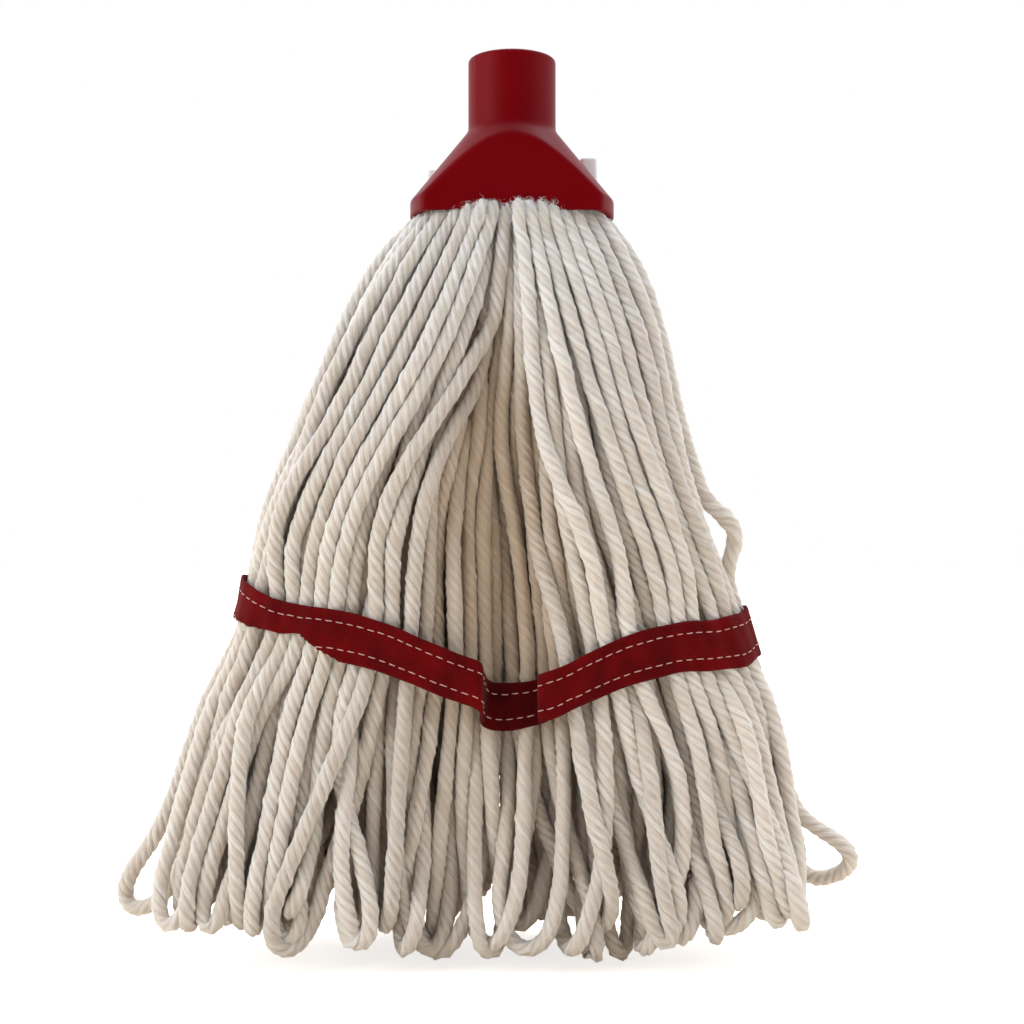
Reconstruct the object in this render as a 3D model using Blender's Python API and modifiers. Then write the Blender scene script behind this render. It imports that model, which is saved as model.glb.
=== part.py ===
"""String mop head: a plastic handle socket with a bell, and a skirt of yarn hanging from it.

The origin is the centre of the socket's rim, where a handle goes in. +Z is up along the
socket, +X is to the right of the front face, and the front looks along -Y.
"""

import math

import bmesh
import bpy
from mathutils import Vector

MM = 0.001
GAP = 0.4 * MM  # between pieces that touch

# Socket: a tube that takes the handle, and a conical bell cut flat at the front and back.
TUBE_RADIUS = 16.8 * MM
BORE_RADIUS = 13.0 * MM
BORE_DEPTH = 29.0 * MM
RIM_ROUND = 1.2 * MM
LIP_ROUND = 0.7 * MM
TUBE_BOTTOM = -27.7 * MM
SHOULDER_BOTTOM = -55.4 * MM
MOUTH = -61.2 * MM
BELL_RADIUS = 39.1 * MM
BELL_HALF_DEPTH = 20.5 * MM
WALL = 2.5 * MM
CONE_WALL = 3.0 * MM  # measured level, so that it is as thick as WALL across the slope
HOLLOW_TOP = -33.0 * MM
TURN_STEPS = 56

# Retainer: a white bar across the bell, behind the yarn, with an upturned lug at each end.
BAR_HALF_LENGTH = 29.0 * MM
BAR_BACK = 9.0 * MM
BAR_FRONT = 4.0 * MM
BAR_BOTTOM = -56.0 * MM
BAR_TOP = -50.2 * MM
LUG_FRONT = 5.6 * MM
LUG_BACK = 9.8 * MM
LUG_INNER = 26.4 * MM
LUG_OUTER = 33.6 * MM
LUG_TOPS = {"left": -39.6 * MM, "right": -35.2 * MM}

# Yarn skirt: it bends at the mouth about an axis along X, just below the bell.
HINGE = MOUTH - 12.0 * MM
SKIRT_TOP = HINGE - 3.0 * MM
WEDGE = math.tan(math.radians(51.0))  # the skirt's top keeps inside this slope, so that it swings
COLUMNS = 8
SECTION_POINTS = 12
SECTION_POWER = 2.5  # of the superellipse that rounds each bundle and the whole skirt
OUTER_SHARE = 0.6  # how far from a bundle's middle to its edge its depth is read from the skirt's outline
# Height, then the reach to the left, to the right, and to the front and back
SKIRT_STATIONS = [
    (-70 * MM, 47 * MM, 45 * MM, 23 * MM),
    (-94 * MM, 60 * MM, 57 * MM, 26 * MM),
    (-117 * MM, 71 * MM, 63 * MM, 29 * MM),
    (-140 * MM, 80 * MM, 64 * MM, 31 * MM),
    (-163 * MM, 93 * MM, 69 * MM, 32 * MM),
    (-186 * MM, 100 * MM, 78 * MM, 32 * MM),
    (-210 * MM, 104 * MM, 90 * MM, 31 * MM),
    (-244 * MM, 114 * MM, 99 * MM, 34 * MM),
    (-278 * MM, 126 * MM, 111 * MM, 38 * MM),
    (-308 * MM, 137 * MM, 121 * MM, 42 * MM),
    (-340 * MM, 138 * MM, 120 * MM, 44 * MM),
]
BUNDLE_BOTTOMS = {  # from left to right
    "front": [-330 * MM, -334 * MM, -337 * MM, -335 * MM, -334 * MM, -338 * MM, -335 * MM, -329 * MM],
    "back": [-326 * MM, -331 * MM, -333 * MM, -336 * MM, -337 * MM, -333 * MM, -332 * MM, -325 * MM],
}
BUNDLE_RINGS = 12
BUNDLE_TIP = 12.0 * MM  # height over which a bundle's end rounds off
YARN_RADIUS = 3.1 * MM

# Stray loops of yarn that stand out from the skirt's edge
STRAY_LOOPS = {
    "stray_loop_lower_left": [
        (-134.5, 0, -283), (-140.5, 0, -293), (-145.5, -1, -303), (-148.8, -2, -313), (-148.5, -3, -324),
    ],
    "stray_loop_upper_right": [
        (75.5, 0, -164), (80.5, 0, -169), (84.0, 0, -176), (85.0, 0, -183), (84.5, 0, -188),
    ],
    "stray_loop_lower_right": [
        (123.0, 0, -290), (127.5, 0, -297), (130.0, 0, -304), (129.0, 0, -311), (127.5, 0, -316),
    ],
}

# Tape: one band sewn round the skirt, at an even distance from the mouth.
TAPE_FROM_MOUTH = 179.0 * MM
TAPE_WIDTH = 17.5 * MM
TAPE_THICKNESS = 1.2 * MM
TAPE_CLEARANCE = 2.2 * MM  # from the skirt's own outline to the tape's inner face
TAPE_STEPS = 64
DENT_DEPTH = 4.0 * MM  # the tape dips into the parting at the front centre
DENT_HALF_WIDTH = 6.0 * MM
STITCH_ROWS = {"upper": 4.4 * MM, "lower": -4.4 * MM}
THREAD_RADIUS = 0.45 * MM
THREAD_STEPS = 34

RED = (0.42, 0.005, 0.018, 1.0)
TAPE_RED = (0.3, 0.004, 0.012, 1.0)
WHITE = (0.85, 0.85, 0.9, 1.0)
YARN = (0.78, 0.74, 0.69, 1.0)
THREAD = (0.8, 0.6, 0.58, 1.0)


def clear_scene():
    for obj in list(bpy.data.objects):
        bpy.data.objects.remove(obj, do_unlink=True)


def new_collection(name):
    made = bpy.data.collections.new(name)
    bpy.context.scene.collection.children.link(made)
    return made


def new_material(name, colour, roughness):
    made = bpy.data.materials.new(name)
    made.use_nodes = True
    shader = made.node_tree.nodes["Principled BSDF"]
    shader.inputs["Base Color"].default_value = colour
    shader.inputs["Roughness"].default_value = roughness
    made.diffuse_color = colour
    return made


def add_part(name, data, colour, roughness):
    obj = bpy.data.objects.new(name, data)
    data.materials.append(new_material(name, colour, roughness))
    PARTS.objects.link(obj)
    return obj


def as_cutter(obj):
    obj.hide_render = True
    obj.display_type = "WIRE"
    return obj


def turned_mesh(name, profile):
    """An open profile of (radius, height) points, from the axis round to the axis."""
    mesh = bpy.data.meshes.new(name)
    edges = [(i, i + 1) for i in range(len(profile) - 1)]
    mesh.from_pydata([(r, 0, z) for r, z in profile], edges, [])
    return mesh


def add_screw(obj):
    screw = obj.modifiers.new("turn", "SCREW")
    screw.steps = screw.render_steps = TURN_STEPS
    screw.use_merge_vertices = True
    screw.merge_threshold = 0.00001
    screw.use_smooth_shade = True


def box_mesh(name, low, high):
    mesh = bpy.data.meshes.new(name)
    shape = bmesh.new()
    bmesh.ops.create_cube(shape, size=1.0)
    low, high = Vector(low), Vector(high)
    for vertex in shape.verts:
        for axis in range(3):
            vertex.co[axis] = low[axis] if vertex.co[axis] < 0 else high[axis]
    shape.to_mesh(mesh)
    shape.free()
    return mesh


def add_cutter(name, mesh):
    obj = bpy.data.objects.new(name, mesh)
    CUTTERS.objects.link(obj)
    return as_cutter(obj)


def add_boolean(obj, operation, cutter):
    boolean = obj.modifiers.new(cutter.name, "BOOLEAN")
    boolean.operation = operation
    boolean.object = cutter


def loft_mesh(name, rings, closed=False):
    """Skins one ring of points to the next, and caps the ends unless the rings close on themselves."""
    mesh = bpy.data.meshes.new(name)
    shape = bmesh.new()
    rows = [[shape.verts.new(point) for point in ring] for ring in rings]
    pairs = list(zip(rows, rows[1:]))
    if closed:
        pairs.append((rows[-1], rows[0]))
    for one, other in pairs:
        for i in range(len(one)):
            j = (i + 1) % len(one)
            shape.faces.new((one[i], one[j], other[j], other[i]))
    if not closed:
        shape.faces.new(rows[0])
        shape.faces.new(rows[-1])
    bmesh.ops.recalc_face_normals(shape, faces=shape.faces)
    shape.to_mesh(mesh)
    shape.free()
    mesh.shade_smooth()
    return mesh


def tube_curve(name, points, radius):
    curve = bpy.data.curves.new(name, "CURVE")
    curve.dimensions = "3D"
    curve.bevel_depth = radius
    curve.bevel_resolution = 2
    curve.use_fill_caps = True
    spline = curve.splines.new("POLY")
    spline.points.add(len(points) - 1)
    for target, point in zip(spline.points, points):
        target.co = (*point, 1.0)
    return curve


# Socket


def shoulder_radius(z):
    """The bell's outer radius at a height between the tube and the lip."""
    share = (TUBE_BOTTOM - z) / (TUBE_BOTTOM - SHOULDER_BOTTOM)
    return TUBE_RADIUS + (BELL_RADIUS - TUBE_RADIUS) * min(max(share, 0.0), 1.0)


def rim_arc(steps=3):
    """The rounded outer edge of the rim, from the top face to the tube's side."""
    centre = TUBE_RADIUS - RIM_ROUND
    angles = [math.radians(90 - 90 * i / steps) for i in range(steps + 1)]
    return [(centre + RIM_ROUND * math.cos(a), -RIM_ROUND + RIM_ROUND * math.sin(a)) for a in angles]


def build_socket():
    profile = [(0, 0), *rim_arc(), (TUBE_RADIUS, TUBE_BOTTOM)]
    profile += [(BELL_RADIUS - LIP_ROUND, SHOULDER_BOTTOM + LIP_ROUND)]
    profile += [(BELL_RADIUS, SHOULDER_BOTTOM - LIP_ROUND), (BELL_RADIUS, MOUTH), (0, MOUTH)]
    socket = add_part("socket", turned_mesh("socket", profile), RED, 0.4)
    add_screw(socket)

    reach = 60 * MM
    flats = box_mesh("flats", (-reach, -BELL_HALF_DEPTH, -2 * reach), (reach, BELL_HALF_DEPTH, reach))
    add_boolean(socket, "INTERSECT", add_cutter("flats", flats))

    below = MOUTH - 5 * MM
    lip_inside = BELL_RADIUS - CONE_WALL
    hollow_profile = [
        (0, HOLLOW_TOP),
        (shoulder_radius(HOLLOW_TOP) - CONE_WALL, HOLLOW_TOP),
        (lip_inside, SHOULDER_BOTTOM),
        (lip_inside, below),
        (0, below),
    ]
    hollow = add_cutter("hollow", turned_mesh("hollow", hollow_profile))
    add_screw(hollow)
    inside = BELL_HALF_DEPTH - WALL
    flat_walls = box_mesh("flat_walls", (-reach, -inside, -2 * reach), (reach, inside, reach))
    add_boolean(hollow, "INTERSECT", add_cutter("flat_walls", flat_walls))
    add_boolean(socket, "DIFFERENCE", hollow)

    for side, sign in (("left", -1), ("right", 1)):
        across = sorted((sign * (LUG_INNER - GAP), sign * (LUG_OUTER + GAP)))
        low = (across[0], LUG_FRONT - GAP, BAR_BOTTOM)
        high = (across[1], LUG_BACK + GAP, LUG_TOPS[side] + 4 * MM)
        add_boolean(socket, "DIFFERENCE", add_cutter(f"slot_{side}", box_mesh(f"slot_{side}", low, high)))

    above = 5 * MM
    bore_profile = [(0, above), (BORE_RADIUS, above), (BORE_RADIUS, -BORE_DEPTH), (0, -BORE_DEPTH)]
    bore = add_cutter("bore", turned_mesh("bore", bore_profile))
    add_screw(bore)
    add_boolean(socket, "DIFFERENCE", bore)


def build_retainer():
    low = (-BAR_HALF_LENGTH, BAR_FRONT, BAR_BOTTOM)
    high = (BAR_HALF_LENGTH, BAR_BACK, BAR_TOP)
    retainer = add_part("yarn_retainer", box_mesh("yarn_retainer", low, high), WHITE, 0.45)
    for side, sign in (("left", -1), ("right", 1)):
        across = sorted((sign * LUG_INNER, sign * LUG_OUTER))
        low = (across[0], LUG_FRONT, BAR_BOTTOM + 0.7 * MM)
        high = (across[1], LUG_BACK, LUG_TOPS[side])
        lug = add_cutter(f"lug_{side}", box_mesh(f"lug_{side}", low, high))
        add_boolean(retainer, "UNION", lug)


# Yarn inside the bell


def slab(half_width, front, back, z, corner=4 * MM):
    """A level rectangle with its corners cut, as a ring of points."""
    points = []
    for x, y, dx, dy in (
        (half_width, back, -1, -1), (-half_width, back, 1, -1),
        (-half_width, front, 1, 1), (half_width, front, -1, 1),
    ):
        cuts = [(x, y + dy * corner, z), (x + dx * corner, y, z)]
        points += cuts if dx * dy > 0 else cuts[::-1]
    return points


def build_folds():
    wall = BELL_HALF_DEPTH - WALL - 1.5 * MM
    before_bar, behind_lugs = BAR_FRONT - GAP, LUG_BACK + 2 * GAP
    low, high = MOUTH + 0.7 * MM, BAR_TOP + 0.2 * MM
    pieces = {
        "yarn_fold_front": [
            slab(31 * MM, -wall, before_bar, low),
            slab(26 * MM, -wall, before_bar, high),
        ],
        "yarn_fold_back": [
            slab(30 * MM, behind_lugs, wall, low, 1.5 * MM),
            slab(26 * MM, behind_lugs, wall, high, 1.5 * MM),
        ],
        "yarn_fold_top": [
            slab(24 * MM, -15 * MM, 15 * MM, high + GAP),
            slab(20 * MM, -14 * MM, 14 * MM, -42 * MM),
            slab(12 * MM, -8 * MM, 8 * MM, -36 * MM),
        ],
    }
    for name, rings in pieces.items():
        add_part(name, loft_mesh(name, rings), YARN, 0.95)


# Yarn skirt


def skirt_at(z):
    """The skirt's reach to the left, to the right and to the front at a height."""
    stations = SKIRT_STATIONS
    z = min(max(z, stations[-1][0]), stations[0][0])
    for upper, lower in zip(stations, stations[1:]):
        if z >= lower[0]:
            break
    share = (upper[0] - z) / (upper[0] - lower[0])
    left, right, deep = (a + (b - a) * share for a, b in zip(upper[1:], lower[1:]))
    return left, right, min(deep, WEDGE * max(HINGE - z, 0.0))


def superellipse(angle, power=SECTION_POWER):
    c, s = math.cos(angle), math.sin(angle)
    return math.copysign(abs(c) ** (2 / power), c), math.copysign(abs(s) ** (2 / power), s)


def outline_depth(across, power=SECTION_POWER):
    """The share of the skirt's depth that is left at a share of its width from the middle."""
    return (1 - min(abs(across), 1.0) ** power) ** (1 / power)


def bundle_ring(column, side, z, size):
    left, right, deep = skirt_at(z)
    width = (left + right) / COLUMNS
    middle = -left + width * (column + 0.5)
    across = abs((2 * column + 1) / COLUMNS - 1)
    depth = deep * outline_depth(across + OUTER_SHARE / COLUMNS)
    half_width = (width / 2 - GAP) * size
    half_depth = max(depth / 2 - GAP, 0.3 * MM) * size
    ring = []
    for i in range(SECTION_POINTS):
        c, s = superellipse(2 * math.pi * (i + 0.5) / SECTION_POINTS)
        ring.append((middle + half_width * c, side * (depth / 2 + GAP / 2) + half_depth * s, z))
    return ring


def build_bundles():
    for row, side in (("front", -1), ("back", 1)):
        for column, bottom in enumerate(BUNDLE_BOTTOMS[row]):
            straight = bottom + BUNDLE_TIP
            rings = []
            for i in range(BUNDLE_RINGS):
                z = SKIRT_TOP + (straight - SKIRT_TOP) * i / (BUNDLE_RINGS - 1)
                rings.append(bundle_ring(column, side, z, 1.0))
            for share in (0.55, 0.85, 1.0):
                size = math.sqrt(1.05 - share**2)
                rings.append(bundle_ring(column, side, straight - BUNDLE_TIP * share, size))
            name = f"yarn_{row}_{column + 1}"
            add_part(name, loft_mesh(name, rings), YARN, 0.95)


def build_stray_loops():
    for name, route in STRAY_LOOPS.items():
        points = [Vector(point) * MM for point in route]
        add_part(name, tube_curve(name, points, YARN_RADIUS), YARN, 0.95)


# Tape and its stitches


def tape_point(angle, outwards, up):
    """A point on the tape at an angle round the skirt, out from its inner face and up from its middle."""
    c, s = superellipse(angle)
    aside = skirt_at(MOUTH - TAPE_FROM_MOUTH)[0] * c
    z = MOUTH - math.sqrt(TAPE_FROM_MOUTH**2 - aside**2) + up
    left, right, deep = skirt_at(z)
    out = TAPE_CLEARANCE + outwards
    middle, half_width = (right - left) / 2, (right + left) / 2 + out
    x = middle + half_width * c
    y = (deep + out) * s
    if s < 0 and abs(x - middle) < DENT_HALF_WIDTH:
        y += DENT_DEPTH * math.cos(math.pi / 2 * (x - middle) / DENT_HALF_WIDTH) ** 2
    return Vector((x, y, z))


def build_tape():
    rings = []
    for i in range(TAPE_STEPS):
        angle = 2 * math.pi * i / TAPE_STEPS
        corners = ((0, 0.5), (1, 0.5), (1, -0.5), (0, -0.5))
        rings.append([tape_point(angle, out * TAPE_THICKNESS, up * TAPE_WIDTH) for out, up in corners])
    add_part("tape_band", loft_mesh("tape_band", rings, closed=True), TAPE_RED, 0.9)


def build_stitches():
    over = TAPE_THICKNESS + THREAD_RADIUS + 0.4 * MM
    for row, up in STITCH_ROWS.items():
        for face, start in (("front", math.pi), ("back", 0.0)):
            margin = math.radians(8)
            turn = (math.pi - 2 * margin) / THREAD_STEPS
            angles = [start + margin + turn * i for i in range(THREAD_STEPS + 1)]
            name = f"stitch_{row}_{face}"
            points = [tape_point(angle, over, up) for angle in angles]
            curve = tube_curve(name, points, THREAD_RADIUS)
            curve.bevel_resolution = 0
            add_part(name, curve, THREAD, 0.8)


clear_scene()
PARTS = new_collection("string_mop_head")
CUTTERS = new_collection("cutters")
build_socket()
build_retainer()
build_folds()
build_bundles()
build_stray_loops()
build_tape()
build_stitches()
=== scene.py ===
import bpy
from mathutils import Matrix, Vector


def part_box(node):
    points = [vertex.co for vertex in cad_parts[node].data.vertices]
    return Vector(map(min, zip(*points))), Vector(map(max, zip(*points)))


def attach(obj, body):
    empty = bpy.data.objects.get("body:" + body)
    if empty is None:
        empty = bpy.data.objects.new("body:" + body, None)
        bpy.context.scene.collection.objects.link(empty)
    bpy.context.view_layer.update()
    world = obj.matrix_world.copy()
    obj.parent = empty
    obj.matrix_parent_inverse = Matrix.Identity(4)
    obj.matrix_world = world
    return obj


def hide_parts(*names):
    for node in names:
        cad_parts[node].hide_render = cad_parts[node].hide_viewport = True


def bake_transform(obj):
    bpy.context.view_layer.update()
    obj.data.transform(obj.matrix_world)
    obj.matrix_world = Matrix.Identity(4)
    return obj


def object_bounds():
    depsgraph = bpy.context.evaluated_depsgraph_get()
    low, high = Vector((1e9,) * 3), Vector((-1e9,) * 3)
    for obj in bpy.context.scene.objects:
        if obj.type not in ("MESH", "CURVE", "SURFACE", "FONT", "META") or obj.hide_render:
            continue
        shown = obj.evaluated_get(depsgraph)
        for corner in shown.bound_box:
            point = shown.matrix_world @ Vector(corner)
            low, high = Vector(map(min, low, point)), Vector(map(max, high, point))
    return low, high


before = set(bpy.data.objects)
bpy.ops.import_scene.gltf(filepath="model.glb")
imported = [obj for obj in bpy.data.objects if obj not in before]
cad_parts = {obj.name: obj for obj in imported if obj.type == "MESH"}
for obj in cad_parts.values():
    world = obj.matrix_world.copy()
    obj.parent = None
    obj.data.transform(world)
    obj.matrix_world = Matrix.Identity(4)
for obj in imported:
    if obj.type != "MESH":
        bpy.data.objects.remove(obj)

"""The looks of the string mop head: a red plastic socket, a skirt of looped yarn, and a stitched tape.

Metres, +Z up, the front looks along -Y. The origin is the centre of the socket's rim.
"""

import math

import bmesh
import bpy
import numpy as np
from mathutils import Vector
from mathutils.kdtree import KDTree

CAD_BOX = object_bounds()
MM = 0.001
RANDOM = np.random.default_rng(11)

# Places read from the frame
SOCKET_LOW, SOCKET_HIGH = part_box("socket")
MOUTH = SOCKET_LOW.z
BELL_RADIUS = SOCKET_HIGH.x
BELL_HALF_DEPTH = SOCKET_HIGH.y
SKIRT_FLOOR = min(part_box(name)[0].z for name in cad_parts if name.startswith("yarn_front"))

# Camera, light and floor
CAMERA_DISTANCE = 0.575
CAMERA_HEIGHT = -0.1736
CAMERA_LENS = 52.5
SKY_WEIGHTS = {"X": -0.1, "Z": 0.5, "Y": 0.62}  # how much the sky brightens to the right, upwards and behind
SKY_ASIDE = 0.42  # and to both sides
SKY_RANGE = (-0.45, 0.75)
SKY_STRENGTH = (0.06, 1.5)
SKY_TINTS = [(0.2, (1.0, 0.95, 0.90)), (0.9, (0.92, 0.97, 1.04))]
LIGHTS = {  # place, power and size
    "left": ((-0.9, -0.45, 0.2), 4.6, 0.6),
    "right": ((0.95, -0.15, 0.3), 1.2, 0.6),
    "top": ((0.1, 0.3, 0.9), 7.5, 0.8),
}
LIGHT_COLOUR = (0.95, 0.98, 1.0)
FLOOR_COLOUR = (0.88, 0.78, 0.66)
FLOOR_GLOW = 0.7  # seen by the camera only
FLOOR_DROP = 3.4 * MM

# Socket
TUBE_RADIUS = 16.8 * MM
BORE_RADIUS = 13.0 * MM
BORE_FLOOR = -29.0 * MM
BORE_CHAMFER = 0.7 * MM
TUBE_BOTTOM = -27.7 * MM
SHOULDER_BOTTOM = -55.4 * MM
HOLLOW_TOP = -33.0 * MM
CONE_WALL = 3.0 * MM
WALL = 2.5 * MM
RIM_ROUND = 1.3 * MM
NECK_REACH = 1.6 * MM  # of the soft corner where the tube meets the shoulder
LIP_ROUND = 1.6 * MM
FOOT_ROUND = 0.6 * MM
PROFILE_STEP = 1.1 * MM
SOCKET_COLUMNS = 256
EDGE_SHARPNESS = 70  # the power that blends the cone into the flats: higher is sharper
SEAM_ANGLE = math.radians(215.4)  # the mould's parting line down the tube
SEAM_HEIGHT = 0.16 * MM
SEAM_WIDTH = 0.35 * MM
SLOT_GAP = 0.35 * MM
SLOT_ABOVE = 3 * MM  # how far a slot runs on above its lug
BAR_HEIGHT = 5.8 * MM
BAR_THICKNESS = 5 * MM

# Yarn
STRAND_RADIUS = 3.15 * MM
# Strands are squeezed at the mouth and drawn thin under it: height over the mouth, and share of the radius
SQUEEZE = [(-150 * MM, 1.0), (-100 * MM, 0.98), (-40 * MM, 0.94), (0, 0.83)]
PLIES = 5
TWIST_PITCH = 21.0 * MM
GROOVE = 0.17
RIDGES = {2: (0.3, 1.0), 3: (0.15, 1.0, 0.8), 4: (0.1, 0.8, 1.0, 0.75)}  # a ply's section, by its points
RING_STEP = 2.4 * MM
# A strand that lies deeper is made coarser: how deep, the points on each ply, and the step between rings
DETAIL = [(15.0 * MM, 2, 4.0 * MM), (9.0 * MM, 3, 3.2 * MM), (-1.0, 4, RING_STEP)]
MOST_CORDS = 40
LOOP_GROUPS = 7
COLUMNS = 8  # of yarn solids across the front, and as many across the back
SECTION_POWER = 2.5
TIP_HEIGHT = 13.0 * MM
SPREAD = 140.0 * MM  # how far under the mouth the strands have fanned out to their places on the tape

# Layers of legs: front or back, how many, the power that gathers them at the tape's middle, and their depths
# under the outline, in millimetres: at the mouth, at the tape's middle, at the tape's ends, and lowest
LAYERS = [
    ("front", 18, 2.5, 2.6, 3.2, 3.2, 3.2),
    ("front", 21, 1.3, 7.4, 4.6, 9.5, 8.0),
    ("front", 36, 1.0, 12.4, 11.5, 15.0, 19.0),
    ("front", 18, 1.0, 13.5, 19.0, 24.0, 30.0),
    ("back", 18, 1.7, 2.6, 3.2, 3.2, 3.2),
    ("back", 21, 1.2, 7.4, 4.8, 9.5, 9.0),
    ("back", 36, 1.0, 12.4, 11.5, 15.0, 19.0),
    ("back", 18, 1.0, 13.5, 19.0, 24.0, 30.0),
]
MIDDLE_OF = {"front": 0.25, "back": 0.75}  # shares of the way round the skirt

# Where a loop stands off the skirt: its solid, its tip, and how much of the strand goes with it
STRAYS = [
    ("stray_loop_lower_left", (-148.0 * MM, -3 * MM, -321.0 * MM), 19 * MM),
    ("stray_loop_upper_right", (85.0 * MM, -4 * MM, -181.0 * MM), 11 * MM),
    ("stray_loop_lower_right", (129.5 * MM, -4 * MM, -305.0 * MM), 13 * MM),
]
# Where the loops stop: x, and how far above the yarn solids
LIFT = MM * np.array([
    (-150, 8), (-120, 4), (-75, 5), (-55, 2), (-30, 0), (45, 0), (62, 4), (90, 6), (125, 6),
])
LOOP_LEVEL = np.array(-0.32)  # a height among the loops' ends
# Places where the loops part: x, and how far the loops keep from it
GAPS = [(-68 * MM, 15 * MM), (67 * MM, 10 * MM)]
PARTNERS = {0: 0.1, 1: 0.22, 2: 0.28, 3: 0.22, 4: 0.18}  # how many legs a loop skips, and how often
# The parting at the front: height, its middle, half its width, and its depth
PARTING = MM * np.array([
    (-340, 2, 9, 3), (-275, 3, 10, 6), (-240, 2, 14, 16), (-215, 0, 14, 21), (-165, -5, 13, 21),
    (-125, -5, 11, 15), (-95, -3, 6, 7), (-60, 0, 3, 1),
])
# The yarn's outline near the bell: height over the mouth, and its reach sideways or forwards
MOUTH_WIDTHS = MM * np.array([(-4, 42), (0.5, 36), (11, 29)])
MOUTH_DEPTHS = MM * np.array([(-10, 24), (-3.5, 22), (0.5, 18), (11, 15)])

# How the strands settle
STEP = 4.6 * MM  # between the points of a strand while it settles
ROUNDS = 90
PAIRS_EVERY = 5  # rounds
PRESSED = 0.96  # two strands may come this close, as a share of their radii
PUSH = 0.8
SMOOTHING = 0.3
SOFTENING = 8  # passes
LIP_SWELL = 6.2 * MM
LIP_HEIGHT = 4.5 * MM

# The folds over the retainer's bar, and loose fibres
FOLDS = 9
FOLD_RADIUS = 2.5 * MM
FOLD_REACH = 11.5 * MM
FOLD_BOTTOM = MOUTH + 8 * MM
STRAND_FIBRES = 3000
LIP_FIBRES = 5000
FIBRE_RADIUS = 0.05 * MM
FIBRE_TAPER = np.array([1, 1, 0.8, 0.4])
FIBRE_SIDES = 3

# Tape
TAPE_WIDTH = 17.5 * MM
TAPE_THICKNESS = 0.9 * MM
TAPE_OVER = 0.9 * MM  # from the yarn's outline to the tape's middle layer
TAPE_ROWS = 19
TAPE_STEPS = 620
# How far the tape's middle line is from the middle of the mouth, from left to right
TAPE_REACH = MM * np.array([
    (-108, 181), (-98, 179.5), (-78, 174), (-62, 171), (-44, 168), (-33, 169.2), (-22, 172.5), (-11, 176),
    (10, 181), (22, 175.5), (38, 171.6), (62, 174), (76, 178), (94, 184),
])
PLEAT_LEFT = -12.7 * MM
PLEAT_RIGHT = 12.5 * MM
PLEAT_WALLS = (-12.0 * MM, 15.8 * MM)
PLEAT_DEPTH = 13.0 * MM
# The fold at the front, in millimetres: x, how deep under the front, and how far under the tape's arc
PLEAT = [
    (-11.5, 0.9, 1.0), (-10.9, 3.0, 3.0), (-11.1, 6.4, 5.5), (-10.5, 9.6, 7.5), (-7.5, 11.6, 8.5),
    (-1.0, 12.3, 7.0), (5.0, 12.3, 5.0), (10.5, 12.0, 3.6), (14.2, 10.4, 3.0), (15.4, 7.4, 2.4),
    (14.6, 4.4, 1.6), (12.4, 2.5, 1.2), (10.2, 1.3, 1.0), (9.2, 0.2, 0.8), (9.6, -1.0, 0.5), (10.8, -1.6, 0.2),
]
# Where the lower hem is turned under at the left: x, and how much of the tape's width is hidden
TUCK = MM * np.array([(-112, 1), (-104, 3), (-92, 6), (-78, 7.5), (-70, 3), (-62, 0)])
TUCK_GAP = 0.5 * MM
TUCK_LIFT = 0.8 * MM
STITCH_PLACE = 4.6 * MM
THREAD_RADIUS = 0.22 * MM
THREAD_SIDES = 8
STITCH_POINTS = 7


def smoothstep(value):
    value = np.clip(value, 0.0, 1.0)
    return value * value * (3 - 2 * value)


def look_up(place, table):
    """The table's value at a place, on straight lines between its rows."""
    return np.interp(place, *np.array(table).T)


# Camera, light and floor


def add_object(name, data):
    obj = bpy.data.objects.new(name, data)
    bpy.context.scene.collection.objects.link(obj)
    return obj


def object_from(name, shape, *materials):
    """Turns a bmesh into an object."""
    mesh = bpy.data.meshes.new(name)
    shape.to_mesh(mesh)
    shape.free()
    for material in materials:
        mesh.materials.append(material)
    return add_object(name, mesh)


def make_camera():
    data = bpy.data.cameras.new("camera")
    data.lens = CAMERA_LENS
    camera = add_object("camera", data)
    camera.location = (0.0, -CAMERA_DISTANCE, CAMERA_HEIGHT)
    camera.rotation_euler = (math.radians(90), 0, 0)
    bpy.context.scene.camera = camera


def make_sky():
    """Light from above, behind and both sides. The camera itself sees plain white."""
    world = bpy.data.worlds.new("studio")
    bpy.context.scene.world = world
    world.use_nodes = True
    split = add_node(world, "ShaderNodeSeparateXYZ")
    link(world, add_node(world, "ShaderNodeTexCoord").outputs["Generated"], split.inputs[0])
    total = 0.0
    for axis, weight in SKY_WEIGHTS.items():
        total = calculate(world, "MULTIPLY_ADD", split.outputs[axis], weight, total)
    aside = calculate(world, "ABSOLUTE", split.outputs["X"])
    total = calculate(world, "MULTIPLY_ADD", aside, SKY_ASIDE, total)
    strength = map_range(world, total, SKY_RANGE, SKY_STRENGTH)
    tint = ramp_colours(world, strength, SKY_TINTS)
    seen = add_node(world, "ShaderNodeLightPath").outputs["Is Camera Ray"]
    colour = mix_colours(world, tint, seen, (1, 1, 1), "MIX")
    choose = add_node(world, "ShaderNodeMix", B=1.0)
    link(world, seen, choose.inputs["Factor"])
    link(world, strength, choose.inputs["A"])
    background = world.node_tree.nodes["Background"]
    link(world, colour, background.inputs["Color"])
    link(world, choose.outputs["Result"], background.inputs["Strength"])


def make_lights():
    for name, (place, power, size) in LIGHTS.items():
        data = bpy.data.lights.new(name, "AREA")
        data.energy = power
        data.size = size
        data.color = LIGHT_COLOUR
        light = add_object(name, data)
        light.location = place
        aim = Vector((0, 0, MOUTH * 3)) - light.location
        light.rotation_euler = aim.to_track_quat("-Z", "Y").to_euler()


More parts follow.
